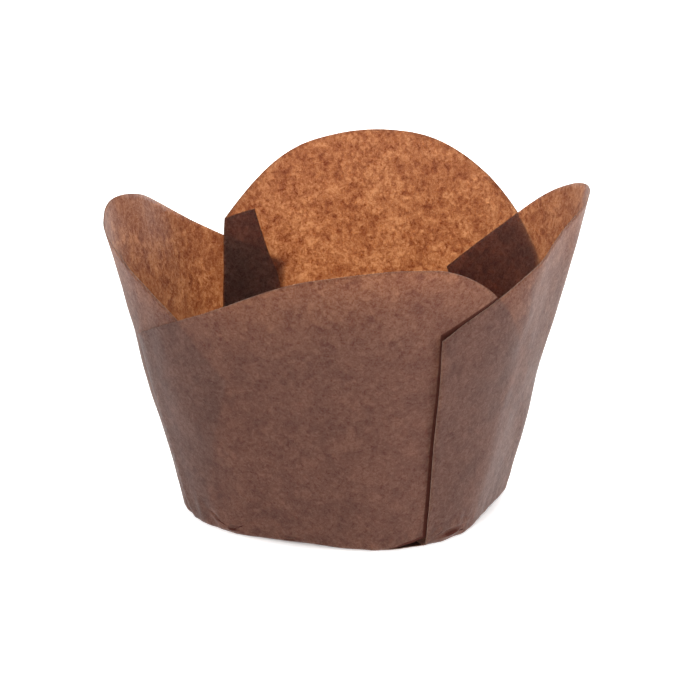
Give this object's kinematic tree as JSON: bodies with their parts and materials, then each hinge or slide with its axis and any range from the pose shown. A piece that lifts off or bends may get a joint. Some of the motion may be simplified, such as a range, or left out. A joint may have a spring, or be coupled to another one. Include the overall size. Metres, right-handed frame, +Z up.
{
  "type": "cupcake liner",
  "caption": "Tulip-shaped brown paper cupcake liner: a rounded-square floor with four round-topped petals that lap at the corners, one with a dog-eared end.",
  "frame": {"origin": "centre of the floor's underside", "axes": "+Z up out of the mouth, the front petal faces -Y, +X to the right seen from the front"},
  "size_m": [0.0758, 0.0759, 0.0528],
  "materials": {
    "paper": "matte"
  },
  "bodies": {
    "root": {"liner": "paper"}
  },
  "joints": []
}
